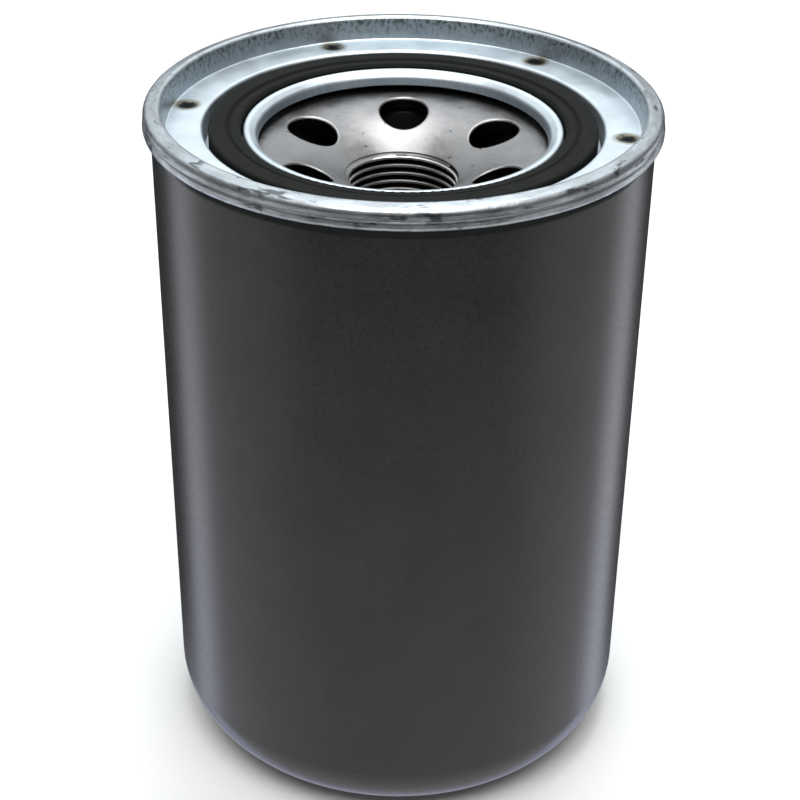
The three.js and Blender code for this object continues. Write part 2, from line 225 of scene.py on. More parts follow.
def mottle(tree, shader, grain, colour, dark, light, rough=None, relief=None, span=NOISE_SPAN):
    """Lets one pattern vary a shader's colour and, where they are given, its roughness and height."""
    share = put(tree, "MapRange", (grain, *span))
    feed(shader, {"Base Color": layered(tree, shade(colour, dark), (share, shade(colour, light)))})
    if rough:
        feed(shader, {"Roughness": put(tree, "MapRange", (grain, *NOISE_SPAN, *rough))})
    if relief:
        depth, strength = relief
        bump = {"Height": grain, "Distance": depth * MM, "Strength": strength}
        feed(shader, {"Normal": put(tree, "Bump", bump)})


def radial_coordinates(tree):
    """Object coordinates whose Z runs outwards and down, for marks that run round the axis."""
    split = put(tree, "SeparateXYZ", [put(tree, "TexCoord", out="Object")]).node.outputs
    flat = put(tree, "CombineXYZ", (split["X"], split["Y"]))
    distance = put(tree, "VectorMath", [flat], operation="LENGTH")
    across = put(tree, "Math", (distance, split["Z"]), operation="SUBTRACT")
    return put(tree, "CombineXYZ", (split["X"], split["Y"], across))


def baked_enamel(name, colour):
    """Alkyd enamel baked on drawn steel: dark grey, satin, finely mottled like orange peel."""
    tree, shader = new_material(name, 0.0, 0.29, 1.5)
    # the film's thickness varies over centimetres, and its orange peel is a little under 1 mm
    cloud = pattern(tree, 14.0, detail=2.0)
    grain = pattern(tree, 0.8, detail=3.0, roughness=0.7)
    broad = put(tree, "MapRange", (cloud, *NOISE_SPAN, 0.0, 0.45))
    fine = put(tree, "MapRange", (grain, *NOISE_SPAN, 0.0, 0.55))
    tone = put(tree, "Math", (broad, fine), operation="ADD")
    peel = {"Height": pattern(tree, 0.7, detail=2.0), "Distance": 0.008 * MM, "Strength": 0.5}
    feed(shader, {
        "Base Color": layered(tree, shade(colour, 0.62), (tone, shade(colour, 1.38))),
        "Roughness": put(tree, "MapRange", (grain, *NOISE_SPAN, 0.26, 0.32)),
        "Normal": put(tree, "Bump", peel),
    })


def zinc_plate(name, colour):
    """Zinc-plated and blue-passivated sheet: bluish white and matt, scorched at the welds, streaked
    where it was drawn upright, with painted shade down the inside of the rolled lip, and grey and
    scuffed where the seam was rolled."""
    tree, shader = new_material(name, 1.0, 0.42)
    along = radial_coordinates(tree)
    drawn, crease, scorch, rolled = (
        put(tree, "Attribute", out="Fac", attribute_name=mark)
        for mark in ("drawn", "crease", "scorch", "rolled"))

    def spread(share, grain, *span):
        """A mark's strength, broken up by a pattern."""
        broken = put(tree, "MapRange", (grain, *span))
        return put(tree, "Math", (share, broken), operation="MULTIPLY")

    cloud = pattern(tree, 6.0, detail=3.0)
    # draw marks and grime are finer than 0.1 mm, and are drawn coarser so that they show
    streaks = pattern(tree, 0.7, detail=2.0, stretch=(1, 1, 0.12))
    specks = pattern(tree, 0.6, detail=3.0, stretch=(1, 1, 0.6))
    scuff = pattern(tree, 1.5, roughness=0.7, stretch=(0.35, 0.35, 1.8), along=along)
    patches = pattern(tree, 7.0, detail=2.0, stretch=(0.8, 0.8, 2.5), along=along)
    smudge = pattern(tree, 3.2, stretch=(0.55, 0.55, 1.5), along=along)
    burn = spread(scorch, pattern(tree, 1.2), *NOISE_SPAN, 0.7, 1.2)
    soiled = layered(
        tree, shade(colour, 0.9),
        (put(tree, "MapRange", (cloud, *NOISE_SPAN)), shade(colour, 1.05)),
        # drawn: draw streaks on the chuck wall, and painted shade deepening down the inside of the
        # rolled lip
        (spread(drawn, streaks, *NOISE_SPAN, 0.55, 0.75), linear("#8a97a2")),
        (spread(crease, specks, 0.46, 0.62), linear("#4a564f")),
        (put(tree, "MapRange", (burn, 0.05, 0.4)), linear("#8d8875")),
        (put(tree, "MapRange", (burn, 0.34, 0.6)), linear("#15171a")),
        (spread(rolled, scuff, 0.36, 0.6, 0.55, 1.0), linear("#aeb4b8")),
        (spread(rolled, patches, 0.42, 0.66, 0.0, 0.5), linear("#84878a")),
        (spread(rolled, smudge, 0.58, 0.66, 0.0, 0.8), linear("#3c3f46")),
    )

    haze = put(tree, "MapRange", (cloud, *NOISE_SPAN, 0.4, 0.48))
    gloss = put(tree, "Math", (rolled, 0.12), operation="MULTIPLY")
    polished = put(tree, "Math", (haze, gloss), operation="SUBTRACT")
    worn = spread(rolled, scuff, 0.35, 0.7, 0.0, 0.18)
    matt = put(tree, "Math", (polished, worn), operation="ADD")
    burnt = put(tree, "Math", (scorch, 0.8), operation="MULTIPLY")
    dents = pattern(tree, 1.1, detail=2.0, stretch=(1, 1, 1.4))
    dented = put(tree, "Math", (dents, rolled), operation="MULTIPLY")
    feed(shader, {
        "Base Color": soiled,
        "Roughness": put(tree, "Math", (matt, burnt), operation="MAXIMUM"),
        "Normal": put(tree, "Bump", {"Height": dented, "Distance": 0.1 * MM, "Strength": 0.5}),
    })


def pressed_steel(name, colour):
    """Pickled steel plate as it leaves the press: neutral grey and satin, with small pits and stains,
    bright cut steel with painted highlights on the thread's crests, and painted shade in the groove, the
    inlets and under the lip."""
    tree, shader = new_material(name, 1.0, 0.38)
    cloud = pattern(tree, 5.0, detail=5.0)
    # press marks, drawn coarser than they are so that they show
    drawn = pattern(tree, 0.5, detail=3.0, stretch=(0.35, 0.35, 1), along=radial_coordinates(tree))
    broad = put(tree, "MapRange", (cloud, *NOISE_SPAN, 0.0, 0.6))
    fine = put(tree, "MapRange", (drawn, *NOISE_SPAN, 0.0, 0.4))
    tone = put(tree, "Math", (broad, fine), operation="ADD")
    pit = put(tree, "MapRange", (pattern(tree, 1.8, detail=2.0), 0.70, 0.74))
    stain = put(tree, "Math", (pit, 0.7), operation="MULTIPLY")
    pitted = put(tree, "Math", (tone, pit), operation="SUBTRACT")
    feed(shader, {
        "Base Color": layered(
            tree, shade(colour, 0.8),
            (tone, shade(colour, 1.15)),
            (stain, linear("#3b3a3c")),
            # bright cut steel in the bore, which shows on the thread's crests as a painted highlight
            (put(tree, "Attribute", out="Fac", attribute_name="tapped"), linear("#efedea")),
            # painted shade in the thread's groove, on the inlets' punched walls and under the lip
            (put(tree, "Attribute", out="Fac", attribute_name="oiled"), linear("#141211")),
        ),
        "Roughness": put(tree, "MapRange", (tone, 0.2, 0.8, 0.33, 0.46)),
        "Normal": put(tree, "Bump", {"Height": pitted, "Distance": 0.03 * MM, "Strength": 0.5}),
    })


def rolled_tinplate(name, colour):
    """Tinplate from a rolling mill: bright, with fine lines along the strip."""
    tree, shader = new_material(name, 1.0, 0.25)
    # mill lines lie about 0.05 mm apart, and are drawn coarser so that they show
    lines = pattern(tree, 0.4, detail=3.0, stretch=(0.05, 1, 1))
    mottle(tree, shader, lines, colour, 0.85, 1.08, rough=(0.18, 0.34))


def drawn_wire(name, colour):
    """Oil-tempered spring wire: dark, smooth, with draw marks along it."""
    tree, shader = new_material(name, 1.0, 0.3)
    mottle(tree, shader, pattern(tree, 2.0), colour, 0.75, 1.15, rough=(0.24, 0.4))


def moulded_rubber(name, colour, roughness):
    """Compression-moulded nitrile rubber: black, soft sheen, powdery bloom in patches."""
    tree, shader = new_material(name, 0.0, roughness, 1.52)
    shader.inputs["Specular IOR Level"].default_value = 0.18
    rough = (roughness - 0.06, roughness + 0.1)
    mottle(tree, shader, pattern(tree, 3.5, detail=5.0), colour, 1.0, 1.5, rough, span=(0.4, 0.75))
    # the mould's grit is about 0.05 mm, and is drawn coarser so that it shows
    grit = {"Height": pattern(tree, 0.35, detail=2.0), "Distance": 0.02 * MM, "Strength": 0.4}
    feed(shader, {"Normal": put(tree, "Bump", grit)})


def treated_paper(name, colour):
    """Phenolic-treated filter paper: fibrous, matt, browned in streaks."""
    tree, shader = new_material(name, 0.0, 0.85, 1.45)
    # fibres are about 0.03 mm thick, and are drawn coarser so that they show
    fibre = pattern(tree, 0.5, detail=6.0, roughness=0.75, stretch=(1, 1, 0.5))
    mottle(tree, shader, fibre, colour, 0.7, 1.15, relief=(0.08, 0.6))


def cured_resin(name, colour, roughness):
    """Plastisol or seam lining, cast and cured: smooth, with faint flow marks."""
    tree, shader = new_material(name, 0.0, roughness, 1.5)
    mottle(tree, shader, pattern(tree, 4.0, detail=3.0), colour, 0.85, 1.15, relief=(0.1, 0.3))


def finish(context, slot):
    """The finish of a material slot, made the first time that a piece asks for it."""
    colours = context.scene.oil_filter_colours
    maker, name, *values = {
        "can_paint": (baked_enamel, "baked_enamel", colours.enamel),
        "zinc_plate": (zinc_plate, "zinc_plated_steel", colours.zinc),
        "plate_steel": (pressed_steel, "pressed_steel_plate", colours.plate),
        "tinplate": (rolled_tinplate, "rolled_tinplate", linear("#c4c7c6")),
        "spring_steel": (drawn_wire, "drawn_spring_wire", linear("#77797b")),
        "gasket_rubber": (moulded_rubber, "gasket_nitrile_rubber", colours.gasket, 0.78),
        "valve_rubber": (moulded_rubber, "valve_nitrile_rubber", colours.valve, 0.5),
        "filter_paper": (treated_paper, "phenolic_filter_paper", colours.paper),
        "bond_resin": (cured_resin, "cured_plastisol", colours.resin, 0.35),
        "seam_lining": (cured_resin, "seam_lining_compound", linear("#8a8f84"), 0.6),
    }[slot]
    if name not in bpy.data.materials:
        maker(name, *values)
    return bpy.data.materials[name]


# ---- Outlines -----------------------------------------------------------------------------------


def on_circle(radius, angle):
    return Vector((radius * math.cos(angle), radius * math.sin(angle)))


def arc_points(start, end, centre):
    """Points from start to end round the centre, closer together on a tight bend."""
    first, last = start - centre, end - centre
    turn = first.angle_signed(last)
    steps = max(3, math.ceil(abs(turn) * (4 + 2.2 * math.sqrt(first.length))))
    return [centre + Matrix.Rotation(-turn * k / steps, 2) @ first for k in range(steps + 1)]


def bent(corners, closed=False):
    """A line through (radius, height, bend) corners in which each corner is rounded by its bend."""
    points = []
    count = len(corners)
    for i, (x, y, bend) in enumerate(corners):
        here = Vector((x, y))
        if bend == 0 or (not closed and i in (0, count - 1)):
            points.append(here)
            continue
        back = Vector(corners[i - 1][:2]) - here
        ahead = Vector(corners[(i + 1) % count][:2]) - here
        half = back.angle(ahead) / 2
        reach = min(bend / math.tan(half), 0.499 * back.length, 0.499 * ahead.length)
        middle = (back.normalized() + ahead.normalized()).normalized()
        centre = here + middle * reach / math.cos(half)
        points += arc_points(here + back.normalized() * reach, here + ahead.normalized() * reach, centre)
    return points


def both_faces(line, thickness, closed=False):
    """The two faces of a sheet whose middle follows the line, as points on its left and right."""
    left, right = [], []
    count = len(line)
    for i, point in enumerate(line):
        back = line[i - 1] if closed or i > 0 else None
        ahead = line[(i + 1) % count] if closed or i < count - 1 else None
        sides = []
        for a, b in ((back, point), (point, ahead)):
            if a is not None and b is not None:
                sides.append(Vector((a.y - b.y, b.x - a.x)).normalized())
        mitre = (sides[0] + sides[-1]).normalized()
        reach = thickness / 2 / max(0.3, mitre.dot(sides[0]))
        left.append(point + mitre * reach)
        right.append(point - mitre * reach)
    return left, right


def sheet_outline(corners, thickness):
    """A bent sheet's closed outline."""
    left, right = both_faces(bent(corners), thickness)
    return left + right[::-1]


def ring_outline(low, high, inner, bend):
    """The rounded rectangle of a plain ring that fills its box outside an inner radius."""
    return bent([
        (inner, low.z, bend), (high.x, low.z, bend), (high.x, high.z, bend), (inner, high.z, bend),
    ], closed=True)


# ---- Meshes -------------------------------------------------------------------------------------


def make_object(name, points_mm, faces):
    mesh = bpy.data.meshes.new(name)
    mesh.from_pydata([Vector(p) * MM for p in points_mm], [], faces)
    piece = bpy.data.objects.new(name, mesh)
    bpy.context.scene.collection.objects.link(piece)
    tidy_mesh(piece)
    return piece


def tidy_mesh(piece, merge=1e-7):
    """Joins doubled points and turns the faces outwards."""
    form = bmesh.new()
    form.from_mesh(piece.data)
    bmesh.ops.remove_doubles(form, verts=form.verts, dist=merge)
    bmesh.ops.recalc_face_normals(form, faces=form.faces)
    form.to_mesh(piece.data)
    form.free()


def smooth(piece, angle=38):
    """Smooth shading with creases, in which large faces keep their own direction."""
    piece.data.shade_smooth()
    piece.data.set_sharp_from_angle(angle=math.radians(angle))
    weighted = piece.modifiers.new("Weighted normals", "WEIGHTED_NORMAL")
    weighted.keep_sharp = True


def even_angles(steps):
    return [2 * math.pi * i / steps for i in range(steps)]


def ring_points(outline, angles):
    return [(p.x * math.cos(a), p.x * math.sin(a), p.y) for a in angles for p in outline]


def ribbon_faces(columns, rows, closed, offset=0, wrap=True):
    """Quads between neighbouring columns of points. Closed joins the ends of each column, and wrap
    joins the last column to the first."""
    faces = []
    for c in range(columns if wrap else columns - 1):
        here, there = offset + c * rows, offset + (c + 1) % columns * rows
        for r in range(rows if closed else rows - 1):
            s = (r + 1) % rows
            faces.append((here + r, there + r, there + s, here + s))
    return faces


def turned(name, outline, angles=None):
    """A closed outline turned about the filter's axis. Points on the axis are joined into one."""
    angles = angles or even_angles(SMALL_STEPS)
    points = [Vector((max(p.x, 0.0), p.y)) for p in outline]
    return make_object(name, ring_points(points, angles), ribbon_faces(len(angles), len(points), True))


def pressed(name, corners, thickness, steps=SMALL_STEPS):
    return turned(name, sheet_outline(corners, thickness), even_angles(steps))


def helix_sweep(name, section, radius, bottom, top, turns, steps_per_turn):
    """A section carried along a helix. Its x points away from the axis and its y up."""
    steps = round(turns * steps_per_turn)
    points = []
    for i in range(steps + 1):
        angle = 2 * math.pi * turns * i / steps
        height = bottom + (top - bottom) * i / steps
        points += [(*on_circle(radius + x, angle), height + y) for x, y in section]
    rows = len(section)
    faces = ribbon_faces(steps + 1, rows, True, wrap=False)
    faces.append(tuple(range(rows)))
    faces.append(tuple(steps * rows + r for r in range(rows))[::-1])
    return make_object(name, points, faces)


def extruded(name, loops, bottom, top, levels=1):
    """Closed loops of plan points drawn up into walls, with one end face or a ring between loops."""
    count = len(loops[0])
    heights = [bottom + (top - bottom) * level / levels for level in range(levels + 1)]
    points = [(p.x, p.y, z) for loop in loops for z in heights for p in loop]
    wall = count * len(heights)
    faces = []
    for start in range(0, len(points), wall):
        faces += ribbon_faces(len(heights), count, True, start, wrap=False)
    for start in (0, levels * count):
        end = list(range(start, start + count))
        if len(loops) == 1:
            faces.append(tuple(end))
        else:
            faces += [(i, j, wall + j, wall + i) for i, j in zip(end, end[1:] + end[:1])]
    return make_object(name, points, faces)


def carve(piece, cutters):
    """Cuts each cutter out of the piece and throws the cutters away."""
    for cutter in cutters:
        cutting = piece.modifiers.new("Cut", "BOOLEAN")
        cutting.operation = "DIFFERENCE"
        cutting.solver = "MANIFOLD"
        cutting.object = cutter
    depsgraph = bpy.context.evaluated_depsgraph_get()
    result = bpy.data.meshes.new_from_object(piece.evaluated_get(depsgraph))
    piece.modifiers.clear()
    before = piece.data
    piece.data = result
    result.name = piece.name
    bpy.data.meshes.remove(before)
    if not len(result.polygons):
        raise RuntimeError(f"cutting {piece.name} left nothing")
    for cutter in cutters:
        bpy.data.meshes.remove(cutter.data)


def rod(name, radius, length, steps=32):
    """A plain round cutter along Z, centred on the origin."""
    circle = [on_circle(radius, angle) for angle in even_angles(steps)]
    return extruded(name, [circle], -length / 2, length / 2)


def finish_piece(context, piece, body, slot, node):
    """Gives a piece the finish for its slot, smooth shading and its body, and hides the frame node that
    it stands for.
    """
    piece.data.materials.clear()
    piece.data.materials.append(finish(context, slot))
    smooth(piece)
    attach(piece, body)
    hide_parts(node)


def clamp(value):
    """A value held between 0 and 1."""
    return max(0.0, min(1.0, value))


def point_attribute(piece, name, value_at):
    """Stores a value from 0 to 1 at each point, worked out from its place in millimetres."""
    attribute = piece.data.attributes.new(name, "FLOAT", "POINT")
    for point, item in zip(piece.data.vertices, attribute.data):
        item.value = value_at(point.co / MM)


# ---- Housing ------------------------------------------------------------------------------------


def can_corners(sizes):
    half = CAN_SHEET / 2
    wall = mm(sizes.can_radius) - half
    bend = (SEAM_CAN_HOOK - SEAM_CAN_WALL) / 2
    return [
        (0, 1.2 + half, 0),
        (16.6, 1.2 + half, 3),
        (19, half, 3),
        (wall, half, mm(sizes.corner_radius) - half),
        (wall, down(5.2), 1.6),
        (SEAM_CAN_WALL, down(4.4), 1.6),
        (SEAM_CAN_WALL, down(1.77), bend),
        (SEAM_CAN_HOOK, down(1.77), bend),
        (SEAM_CAN_HOOK, down(3.0), 0),
    ]


class OILFILTER_OT_outer_can(bpy.types.Operator):
    """Draw the enamelled can with its raised base panel, round corner, neck and seam hook"""
    bl_idname = "oil_filter.outer_can"
    bl_label = "Outer can"

    def execute(self, context):
        corners = can_corners(context.scene.oil_filter_sizes)
        piece = pressed("can", corners, CAN_SHEET, TURN_STEPS)
        finish_piece(context, piece, "housing", "can_paint", "outer_can")
        return {"FINISHED"}


def lid_corners(sizes):
    half = LID_SHEET / 2
    hem = (SEAM_OUTSIDE - SEAM_LID_HOOK) / 2
    flat = down(mm(sizes.flat_depth)) - half
    floor = down(mm(sizes.groove_depth)) - half
    return [
        (SEAM_LID_HOOK, down(2.3), 0),
        (SEAM_LID_HOOK, down(3.765), hem),
        (SEAM_OUTSIDE, down(3.765), hem),
        (SEAM_OUTSIDE, down(2.6), 0.5),
        (SEAM_OUTSIDE - 0.2, down(2.25), 0.5),
        (SEAM_OUTSIDE - 0.12, down(0.79), 1.0),
        (40.62, down(half), 0.55),
        (40.0, flat, 0.55),
        (33.85, flat, 0.4),
        (33.85, floor, 0.8),
        (26.65, floor, 0.8),
        (26.65, down(5.2), 0.45),
        (25.95, down(5.3), 0.7),
        (24.9, down(6.05), 0.9),
        (24.69, down(7.4), 0),
    ]


WELD_ANGLES = [math.radians(WELD_START + 360 / WELD_COUNT * i) for i in range(WELD_COUNT)]
WELD_CENTRES = [on_circle(WELD_RADIUS, angle) for angle in WELD_ANGLES]


def weld_distance(place):
    """Distance in the lid's plan to the nearest weld."""
    return min((place.xy - centre).length for centre in WELD_CENTRES)


def lid_angles():
    """Even angles with extra ones near each weld, so that its mark has a round edge."""
    angles = set(round(a, 5) for a in even_angles(TURN_STEPS))
    for middle in WELD_ANGLES:
        for step in range(-12, 13):
            angles.add(round((middle + step * 0.007) % (2 * math.pi), 5))
    return sorted(angles)


def finer(points, low, high, step):
    """Adds points to long stretches that lie between two radii."""
    result = []
    for a, b in zip(points, points[1:] + points[:1]):
        result.append(a)
        inside = low <= min(a.x, b.x) and max(a.x, b.x) <= high
        count = int((b - a).length / step) if inside else 0
        result += [a.lerp(b, k / (count + 1)) for k in range(1, count + 1)]
    return result


def sink_welds(piece, flat_top):
    """Presses the electrode marks into the lid's flat, each with a slightly raised lip."""
    for point in piece.data.vertices:
        place = point.co / MM
        if abs(place.z - flat_top) > 0.6:
            continue
        distance = weld_distance(place)
        if distance > 2 * WELD_SPOT:
            continue
        pit = -WELD_PIT * max(0.0, 1 - (distance / WELD_SPOT) ** 3)
        lip = WELD_LIP * math.exp(-((distance - 1.15 * WELD_SPOT) / 0.35) ** 2)
        point.co.z += (pit + lip) * MM


def roll_marks(piece):
    """Leaves the seam slightly uneven, as the seaming rollers do."""
    for point in piece.data.vertices:
        place = point.co / MM
        if place.xy.length < 40.6 or place.z < down(4.0):
            continue
        wave = noise.noise(place * 0.35) + 0.6 * noise.noise(place * 1.1)
        outwards = Vector((place.x, place.y, 0)).normalized()
        point.co += outwards * min(0.0, ROLLER_WAVE * (wave - 0.45)) * MM


def scorch_at(place, flat_top):
    """How burnt the plating is: full at a weld's middle, gone two marks away."""
    if abs(place.z - flat_top) > 0.9:
        return 0.0
    return clamp(1 - weld_distance(place) / (1.7 * WELD_SPOT))


def rolled_at(place):
    """How scuffed the plating is: full on the outside of the seam, fading down the chuck wall."""
    return clamp((place.xy.length - 40.3) / 0.7)


def streaks_and_lip_shade_at(place):
    """How much the sheet is darkened: streaked on the upright chuck wall, and inside the rolled lip a
    painted shade that deepens downwards.
    """
    distance = place.xy.length
    if distance < 25.2:
        return clamp((down(5.6) - place.z) / 0.6)
    inner, outer = CHUCK_WALL
    return 1.0 if inner < distance < outer and down(4.1) < place.z < down(0.45) else 0.0


def crease_at(place):
    """The line where the seaming chuck's edge met the wall and left grime."""
    inner, outer = CHUCK_WALL
    return clamp(1 - abs(place.z - down(0.75)) / 0.4) if inner < place.xy.length < outer else 0.0


class OILFILTER_OT_seaming_lid(bpy.types.Operator):
    """Press the zinc-plated lid: seam, chuck wall, flat with weld marks, groove and rolled lip"""
    bl_idname = "oil_filter.seaming_lid"
    bl_label = "Seaming lid"

    def execute(self, context):
        sizes = context.scene.oil_filter_sizes
        outline = finer(sheet_outline(lid_corners(sizes), LID_SHEET), 33.9, 40.2, 0.25)
        piece = turned("lid", outline, lid_angles())
        flat_top = down(mm(sizes.flat_depth))
        sink_welds(piece, flat_top)
        roll_marks(piece)
        point_attribute(piece, "scorch", lambda place: scorch_at(place, flat_top))
        point_attribute(piece, "rolled", rolled_at)
        # drawn holds draw streaks on the chuck wall and painted shade inside the rolled lip
        point_attribute(piece, "drawn", streaks_and_lip_shade_at)
        point_attribute(piece, "crease", crease_at)
        finish_piece(context, piece, "housing", "zinc_plate", "seaming_lid")
        return {"FINISHED"}


class OILFILTER_OT_seam_compound(bpy.types.Operator):
    """Lay the cured sealing compound in the top of the double seam"""
    bl_idname = "oil_filter.seam_compound"
    bl_label = "Seam compound"

    def execute(self, context):
        outline = ring_outline(*corners_mm("seam_compound"), SEAM_CAN_WALL + 0.1, 0.1)
        piece = turned("seam_lining", outline, even_angles(TURN_STEPS))
        finish_piece(context, piece, "housing", "seam_lining", "seam_compound")
        return {"FINISHED"}


def gasket_corners(sizes):
    top = down(mm(sizes.gasket_depth))
    low, high = corners_mm("sealing_gasket")
    return [
        (27.3, low.z, 0.3),
        (high.x, low.z, 0.3),
        (high.x, top, 0.55),
        (29.85, top, 0.3),
        (29.35, top - 0.6, 0.12),
        (28.95, top - 0.22, 0.22),
        (27.7, top - 0.25, 0.3),
        (27.3, top - 0.7, 0.2),
    ]


def raise_ribs(piece, top):
    """Raises the short moulded ribs round the gasket's inner edge."""
    for point in piece.data.vertices:
        place = point.co / MM
        distance = place.xy.length
        if distance > 28.45 or place.z < top - 0.8:
            continue
        turn = math.atan2(place.y, place.x) / (2 * math.pi) * RIBS
        ridge = max(0.0, math.cos(2 * math.pi * turn)) ** 2
        across = max(0.0, 1 - ((distance - RIB_CIRCLE) / RIB_REACH) ** 2)
        point.co.z += RIB_HEIGHT * ridge * across * MM


class OILFILTER_OT_sealing_gasket(bpy.types.Operator):
    """Mould the gasket, with its crease and the ribs round its inner edge"""
    bl_idname = "oil_filter.sealing_gasket"
    bl_label = "Sealing gasket"

    def execute(self, context):
        sizes = context.scene.oil_filter_sizes
        outline = finer(bent(gasket_corners(sizes), closed=True), 27.2, 29.0, 0.15)
        piece = turned("gasket", outline, even_angles(RIBS * 7))
        raise_ribs(piece, down(mm(sizes.gasket_depth)))
        finish_piece(context, piece, "housing", "gasket_rubber", "sealing_gasket")
        return {"FINISHED"}


# The plate is made of an inner and an outer turned ribbon, with a patch round each inlet between.
PATCH_INNER = 13.1
PATCH_OUTER = 23.5
ARC_STEPS = 40
SIDE_STEPS = 14
INLET_CENTRES = [
    on_circle(INLET_CIRCLE, math.pi / 2 + 2 * math.pi * i / INLET_COUNT) for i in range(INLET_COUNT)]


def dish_height(distance, sink=0.0):
    """Height of the plate's upper face at a distance from the axis, or of a face that lies deeper."""
    centre = down(FLOOR_DEPTH) - DISH_ARC
    across = max(0.0, DISH_EDGE - distance)
    return centre + math.sqrt((DISH_ARC - sink) ** 2 - across ** 2)


def dish_line(start, end, sink, steps=14):
    """Points on a face of the dish between two distances from the axis."""
    radii = [start + (end - start) * k / steps for k in range(steps + 1)]
    return [Vector((r, dish_height(r, sink))) for r in radii]


def inner_ribbon(thickness):
    """From the dish down the threaded bore, round the neck's end and back under the dish."""
    mouth = THREAD_MAJOR - 0.2
    neck = bent([
        (mouth, dish_height(mouth), 0),
        (THREAD_MINOR, down(THREAD_MOUTH + 0.8), 0.15),
        (THREAD_MINOR, down(THREAD_END), 0.3),
        (12.5, down(THREAD_END), 0.5),
        (12.5, dish_height(12.9, thickness) - 0.5, 0.5),
        (12.9, dish_height(12.9, thickness), 0),
    ])
    return dish_line(PATCH_INNER, mouth, 0)[:-1] + neck + [
        Vector((PATCH_INNER, dish_height(PATCH_INNER, thickness)))]


def outer_ribbon(thickness):
    """From under the dish out to the stepped flange and back over it."""
    floor, flange = down(FLOOR_DEPTH), down(FLANGE_DEPTH)
    line = bent([
        (DISH_EDGE, floor - thickness, 0),
        (35.4, floor - thickness, 2),
        (37.0, flange - thickness, 1),
        (39.3, flange - thickness, 0.2),
        (39.3, flange, 0.4),
        (34.7, flange, 0.8),
        (34.7, floor, 0.5),
        (DISH_EDGE, floor, 0),
    ])
    under = dish_line(PATCH_OUTER, DISH_EDGE, thickness, 3)[:-1]
    over = dish_line(DISH_EDGE, PATCH_OUTER, 0, 3)[1:]
    return under + line + over


def patch_border(middle):
    """Plan points round one inlet's share of the dish, in order round the inlet."""
    half = math.pi / INLET_COUNT
    arc = [middle - half + 2 * half * k / ARC_STEPS for k in range(ARC_STEPS + 1)]
    side = [PATCH_INNER + (PATCH_OUTER - PATCH_INNER) * k / SIDE_STEPS for k in range(SIDE_STEPS + 1)]
    border = [(PATCH_OUTER, a) for a in arc[:-1]]
    border += [(r, arc[-1]) for r in side[:0:-1]]
    border += [(PATCH_INNER, a) for a in arc[:0:-1]]
    border += [(r, arc[0]) for r in side[:-1]]
    return [on_circle(r, a) for r, a in border]


def inlet_stations(border, centre, thickness):
    """For each border point, the line from it over the plate, down the punched wall and back below."""
    edge, burr = 0.4, 0.15
    shares = [1, 0.8, 0.6, 0.42, 0.27, 0.14, 0.05]
    stations = []
    for point in border:
        outwards = (point - centre).normalized()

        def at(reach, drop, sink):
            plan = centre + outwards * reach
            return (plan.x, plan.y, dish_height(plan.length, sink) + drop)

        rest = (point - centre).length - INLET_RADIUS
        line = [at(INLET_RADIUS + edge + (rest - edge) * s, 0, 0) for s in shares]
        for k in range(6):
            turn = math.radians(18 * k)
            line.append(at(INLET_RADIUS + edge * (1 - math.sin(turn)), -edge * (1 - math.cos(turn)), 0))
        line.append(at(INLET_RADIUS, burr, thickness))
        line += [at(INLET_RADIUS + burr + (rest - burr) * s, 0, thickness) for s in shares[::-1]]
        stations.append(line)
    return stations


def plate_mesh(thickness):
    angles = even_angles(INLET_COUNT * ARC_STEPS)
    points, faces = [], []
    for line in (inner_ribbon(thickness), outer_ribbon(thickness)):
        faces += ribbon_faces(len(angles), len(line), False, len(points))
        points += ring_points(line, angles)
    for centre in INLET_CENTRES:
        stations = inlet_stations(patch_border(math.atan2(centre.y, centre.x)), centre, thickness)
        faces += ribbon_faces(len(stations), len(stations[0]), False, len(points))
        points += [p for station in stations for p in station]
    return points, faces


def thread_cutter():
    """The groove of a right-hand metric thread with a rounded root, longer than the neck."""
    slope = math.tan(math.radians(30))
    inner, crest, root = THREAD_MINOR - 0.3, THREAD_MINOR + 0.3, THREAD_MAJOR - 0.06
    mouth_side = 0.14 + (root - inner) * slope
    crest_side = mouth_side - (crest - inner) * slope
    flank = [(inner, mouth_side), (crest, crest_side), (root, 0.14), (THREAD_MAJOR, 0.07)]
    section = [(x, -y) for x, y in flank] + flank[::-1]
    bottom, top = down(THREAD_END + THREAD_PITCH), down(THREAD_MOUTH - THREAD_PITCH)
    turns = (top - bottom) / THREAD_PITCH
    return helix_sweep("thread_cutter", section, 0, bottom, top, turns, 120)


def cut_steel_and_highlight_at(place):
    """Where the tap has cut bright steel, lightened further to paint the highlights on the thread's
    crests.
    """
    inside = place.xy.length < THREAD_MAJOR + 0.05
    return 1.0 if inside and down(THREAD_END) < place.z < down(THREAD_MOUTH + 0.95) else 0.0


def painted_shade_at(place):
    """Painted shade: how dark the steel is made in the thread's groove, on the inlets' punched walls and
    under the lip.
    """
    distance = place.xy.length
    if distance < THREAD_MAJOR + 0.05:
        tapped = down(THREAD_END) < place.z < down(THREAD_MOUTH + 0.9)
        return clamp((distance - THREAD_MINOR - 0.12) / 0.16) if tapped else 0.0
    if distance > PATCH_OUTER:
        return clamp((distance - DISH_EDGE + 0.6) / 0.8)
    gap = min((place.xy - centre).length for centre in INLET_CENTRES) - INLET_RADIUS
    return 0.95 if gap < 0.01 else 0.0


class OILFILTER_OT_base_plate(bpy.types.Operator):
    """Press the base plate, punch its inlets and tap its neck"""
    bl_idname = "oil_filter.base_plate"
    bl_label = "Base plate"

    def execute(self, context):
        thickness = mm(context.scene.oil_filter_sizes.plate_thickness)
        piece = make_object("threaded_plate", *plate_mesh(thickness))
        tidy_mesh(piece, 2e-6)
        carve(piece, [thread_cutter()])
        # painted shade in the thread's groove, on the punched walls and under the lip
        point_attribute(piece, "oiled", painted_shade_at)
        # cut steel in the bore, lightened to paint the highlights on the thread's crests
        point_attribute(piece, "tapped", cut_steel_and_highlight_at)
        finish_piece(context, piece, "housing", "plate_steel", "base_plate")
        return {"FINISHED"}


